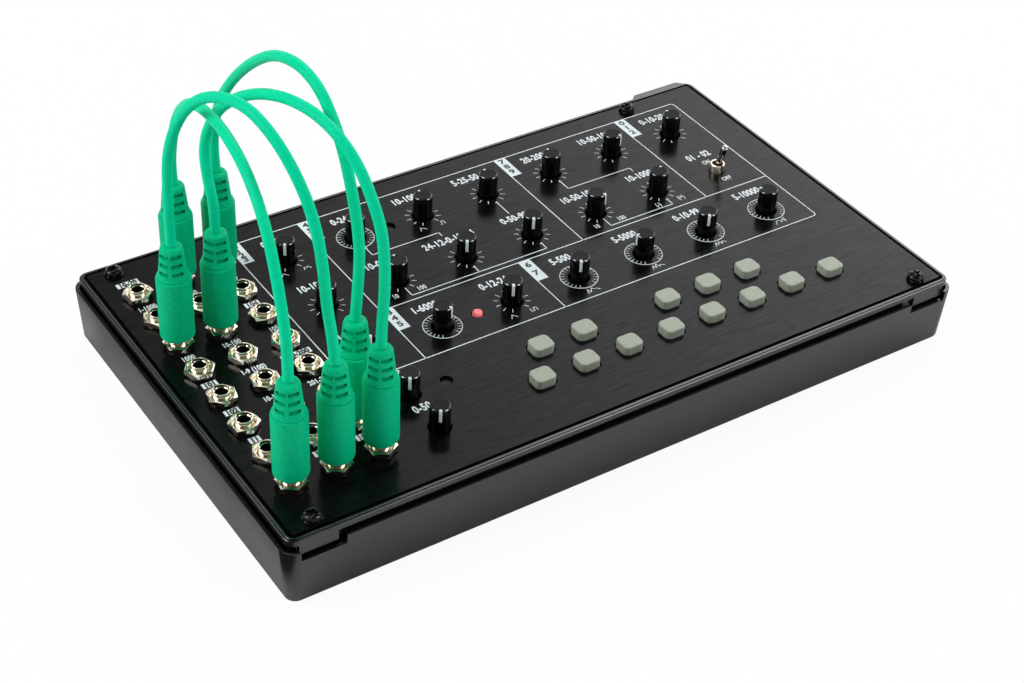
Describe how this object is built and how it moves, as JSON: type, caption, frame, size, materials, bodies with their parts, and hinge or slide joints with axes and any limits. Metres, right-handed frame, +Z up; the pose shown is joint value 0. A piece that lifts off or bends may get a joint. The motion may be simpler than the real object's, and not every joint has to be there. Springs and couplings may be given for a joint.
{
  "type": "synthesizer",
  "caption": "Desktop analog synthesizer: flat black panel with knobs, keys, a toggle switch and a patch bay with plugged patch cords, in a shallow plastic case.",
  "frame": {"origin": "middle of the footprint, on the surface that the case stands on", "axes": "+X to the right along the long side, +Y to the back, +Z up; the key side faces -Y"},
  "size_m": [0.2308, 0.136, 0.1217],
  "materials": {
    "panel_black": "brushed, semi-gloss black with white print",
    "case_plastic": "fine-grained matte black",
    "jack_nickel": "bright nickel",
    "switch_nickel": "bright",
    "board_green": "circuit board",
    "light_red": "clear red lens",
    "knob_black": "gloss side, matte top, white pointer",
    "key_grey": "satin pale grey",
    "screw_black": "black zinc",
    "inlet_black": "matte black",
    "cord_green": "satin green"
  },
  "bodies": {
    "case": {"front_panel": "panel_black", "case_tray": "case_plastic", "case_tub": "case_plastic", "patch_board": "jack_nickel", "control_board": "board_green", "indicator_led": "light_red", "toggle_body": "switch_nickel", "power_inlet": "inlet_black", "panel_screw_1": "screw_black", "panel_screw_2": "screw_black", "panel_screw_3": "screw_black", "panel_screw_4": "screw_black"},
    "toggle_lever": {"toggle_lever": "switch_nickel"},
    "knob_01": {"knob_01": "knob_black"},
    "knob_02": {"knob_02": "knob_black"},
    "knob_03": {"knob_03": "knob_black"},
    "knob_04": {"knob_04": "knob_black"},
    "knob_05": {"knob_05": "knob_black"},
    "knob_06": {"knob_06": "knob_black"},
    "knob_07": {"knob_07": "knob_black"},
    "knob_08": {"knob_08": "knob_black"},
    "knob_09": {"knob_09": "knob_black"},
    "knob_10": {"knob_10": "knob_black"},
    "knob_11": {"knob_11": "knob_black"},
    "knob_12": {"knob_12": "knob_black"},
    "knob_13": {"knob_13": "knob_black"},
    "knob_14": {"knob_14": "knob_black"},
    "knob_15": {"knob_15": "knob_black"},
    "knob_16": {"knob_16": "knob_black"},
    "knob_17": {"knob_17": "knob_black"},
    "knob_18": {"knob_18": "knob_black"},
    "knob_19": {"knob_19": "knob_black"},
    "knob_20": {"knob_20": "knob_black"},
    "knob_21": {"knob_21": "knob_black"},
    "knob_22": {"knob_22": "knob_black"},
    "key_01": {"key_01": "key_grey"},
    "key_02": {"key_02": "key_grey"},
    "key_03": {"key_03": "key_grey"},
    "key_04": {"key_04": "key_grey"},
    "key_05": {"key_05": "key_grey"},
    "key_06": {"key_06": "key_grey"},
    "key_07": {"key_07": "key_grey"},
    "key_08": {"key_08": "key_grey"},
    "key_09": {"key_09": "key_grey"},
    "key_10": {"key_10": "key_grey"},
    "key_11": {"key_11": "key_grey"},
    "key_12": {"key_12": "key_grey"},
    "key_13": {"key_13": "key_grey"},
    "patch_cord_1": {"patch_cord_1": "cord_green", "plug_1a": "cord_green", "plug_1b": "cord_green"},
    "patch_cord_2": {"patch_cord_2": "cord_green", "plug_2a": "cord_green", "plug_2b": "cord_green"},
    "patch_cord_3": {"patch_cord_3": "cord_green", "plug_3a": "cord_green", "plug_3b": "cord_green"},
    "patch_cord_4": {"patch_cord_4": "cord_green", "plug_4a": "cord_green", "plug_4b": "cord_green"}
  },
  "joints": [
    {"name": "toggle_flip", "type": "hinge", "parent": "case", "child": "toggle_lever", "pos_m": [0.0878, 0.0164, 0.025], "axis": [-1, 0, 0], "range_deg": [0, 36]},
    {"name": "knob_01_turn", "type": "hinge", "parent": "case", "child": "knob_01", "pos_m": [-0.0569, 0.04195, 0.0228], "axis": [0, 0, -1], "range_deg": [0, 300]},
    {"name": "knob_02_turn", "type": "hinge", "parent": "case", "child": "knob_02", "pos_m": [-0.0569, 0.0164, 0.0228], "axis": [0, 0, -1], "range_deg": [0, 300]},
    {"name": "knob_03_turn", "type": "hinge", "parent": "case", "child": "knob_03", "pos_m": [-0.0569, -0.00915, 0.0228], "axis": [0, 0, -1], "range_deg": [0, 300]},
    {"name": "knob_04_turn", "type": "hinge", "parent": "case", "child": "knob_04", "pos_m": [-0.03278, 0.04195, 0.0228], "axis": [0, 0, -1], "range_deg": [-150, 150]},
    {"name": "knob_05_turn", "type": "hinge", "parent": "case", "child": "knob_05", "pos_m": [-0.03278, 0.0164, 0.0228], "axis": [0, 0, -1], "range_deg": [-150, 150]},
    {"name": "knob_06_turn", "type": "hinge", "parent": "case", "child": "knob_06", "pos_m": [-0.03278, -0.00915, 0.0228], "axis": [0, 0, -1], "range_deg": [-300, 0]},
    {"name": "knob_07_turn", "type": "hinge", "parent": "case", "child": "knob_07", "pos_m": [-0.00867, 0.04195, 0.0228], "axis": [0, 0, -1], "range_deg": [-150, 150]},
    {"name": "knob_08_turn", "type": "hinge", "parent": "case", "child": "knob_08", "pos_m": [-0.00867, 0.0164, 0.0228], "axis": [0, 0, -1], "range_deg": [0, 300]},
    {"name": "knob_09_turn", "type": "hinge", "parent": "case", "child": "knob_09", "pos_m": [-0.00867, -0.00915, 0.0228], "axis": [0, 0, -1], "range_deg": [0, 300]},
    {"name": "knob_10_turn", "type": "hinge", "parent": "case", "child": "knob_10", "pos_m": [0.01545, 0.04195, 0.0228], "axis": [0, 0, -1], "range_deg": [-150, 150]},
    {"name": "knob_11_turn", "type": "hinge", "parent": "case", "child": "knob_11", "pos_m": [0.01545, 0.0164, 0.0228], "axis": [0, 0, -1], "range_deg": [0, 300]},
    {"name": "knob_12_turn", "type": "hinge", "parent": "case", "child": "knob_12", "pos_m": [0.01545, -0.00915, 0.0228], "axis": [0, 0, -1], "range_deg": [0, 300]},
    {"name": "knob_13_turn", "type": "hinge", "parent": "case", "child": "knob_13", "pos_m": [0.03957, 0.04195, 0.0228], "axis": [0, 0, -1], "range_deg": [-150, 150]},
    {"name": "knob_14_turn", "type": "hinge", "parent": "case", "child": "knob_14", "pos_m": [0.03957, 0.0164, 0.0228], "axis": [0, 0, -1], "range_deg": [-300, 0]},
    {"name": "knob_15_turn", "type": "hinge", "parent": "case", "child": "knob_15", "pos_m": [0.03957, -0.00915, 0.0228], "axis": [0, 0, -1], "range_deg": [-66, 234]},
    {"name": "knob_16_turn", "type": "hinge", "parent": "case", "child": "knob_16", "pos_m": [0.06368, 0.04195, 0.0228], "axis": [0, 0, -1], "range_deg": [-300, 0]},
    {"name": "knob_17_turn", "type": "hinge", "parent": "case", "child": "knob_17", "pos_m": [0.06368, 0.0164, 0.0228], "axis": [0, 0, -1], "range_deg": [-195, 105]},
    {"name": "knob_18_turn", "type": "hinge", "parent": "case", "child": "knob_18", "pos_m": [0.06368, -0.00915, 0.0228], "axis": [0, 0, -1], "range_deg": [0, 300]},
    {"name": "knob_19_turn", "type": "hinge", "parent": "case", "child": "knob_19", "pos_m": [0.0878, 0.04195, 0.0228], "axis": [0, 0, -1], "range_deg": [-141, 159]},
    {"name": "knob_20_turn", "type": "hinge", "parent": "case", "child": "knob_20", "pos_m": [0.0878, -0.00915, 0.0228], "axis": [0, 0, -1], "range_deg": [-103.5, 196.5]},
    {"name": "knob_21_turn", "type": "hinge", "parent": "case", "child": "knob_21", "pos_m": [-0.0569, -0.03085, 0.0228], "axis": [0, 0, -1], "range_deg": [0, 300]},
    {"name": "knob_22_turn", "type": "hinge", "parent": "case", "child": "knob_22", "pos_m": [-0.0569, -0.04695, 0.0228], "axis": [0, 0, -1], "range_deg": [0, 300]},
    {"name": "key_01_press", "type": "slide", "parent": "case", "child": "key_01", "axis": [0, 0, -1], "range_m": [0, 0.001], "stiffness_N_per_m": 200, "springref_m": -0.002},
    {"name": "key_02_press", "type": "slide", "parent": "case", "child": "key_02", "axis": [0, 0, -1], "range_m": [0, 0.001], "stiffness_N_per_m": 200, "springref_m": -0.002},
    {"name": "key_03_press", "type": "slide", "parent": "case", "child": "key_03", "axis": [0, 0, -1], "range_m": [0, 0.001], "stiffness_N_per_m": 200, "springref_m": -0.002},
    {"name": "key_04_press", "type": "slide", "parent": "case", "child": "key_04", "axis": [0, 0, -1], "range_m": [0, 0.001], "stiffness_N_per_m": 200, "springref_m": -0.002},
    {"name": "key_05_press", "type": "slide", "parent": "case", "child": "key_05", "axis": [0, 0, -1], "range_m": [0, 0.001], "stiffness_N_per_m": 200, "springref_m": -0.002},
    {"name": "key_06_press", "type": "slide", "parent": "case", "child": "key_06", "axis": [0, 0, -1], "range_m": [0, 0.001], "stiffness_N_per_m": 200, "springref_m": -0.002},
    {"name": "key_07_press", "type": "slide", "parent": "case", "child": "key_07", "axis": [0, 0, -1], "range_m": [0, 0.001], "stiffness_N_per_m": 200, "springref_m": -0.002},
    {"name": "key_08_press", "type": "slide", "parent": "case", "child": "key_08", "axis": [0, 0, -1], "range_m": [0, 0.001], "stiffness_N_per_m": 200, "springref_m": -0.002},
    {"name": "key_09_press", "type": "slide", "parent": "case", "child": "key_09", "axis": [0, 0, -1], "range_m": [0, 0.001], "stiffness_N_per_m": 200, "springref_m": -0.002},
    {"name": "key_10_press", "type": "slide", "parent": "case", "child": "key_10", "axis": [0, 0, -1], "range_m": [0, 0.001], "stiffness_N_per_m": 200, "springref_m": -0.002},
    {"name": "key_11_press", "type": "slide", "parent": "case", "child": "key_11", "axis": [0, 0, -1], "range_m": [0, 0.001], "stiffness_N_per_m": 200, "springref_m": -0.002},
    {"name": "key_12_press", "type": "slide", "parent": "case", "child": "key_12", "axis": [0, 0, -1], "range_m": [0, 0.001], "stiffness_N_per_m": 200, "springref_m": -0.002},
    {"name": "key_13_press", "type": "slide", "parent": "case", "child": "key_13", "axis": [0, 0, -1], "range_m": [0, 0.001], "stiffness_N_per_m": 200, "springref_m": -0.002},
    {"name": "patch_cord_1_pull", "type": "slide", "parent": "case", "child": "patch_cord_1", "axis": [0, 0, 1], "range_m": [0, 0.015]},
    {"name": "patch_cord_2_pull", "type": "slide", "parent": "case", "child": "patch_cord_2", "axis": [0, 0, 1], "range_m": [0, 0.007]},
    {"name": "patch_cord_3_pull", "type": "slide", "parent": "case", "child": "patch_cord_3", "axis": [0, 0, 1], "range_m": [0, 0.015]},
    {"name": "patch_cord_4_pull", "type": "slide", "parent": "case", "child": "patch_cord_4", "axis": [0, 0, 1], "range_m": [0, 0.015]}
  ]
}
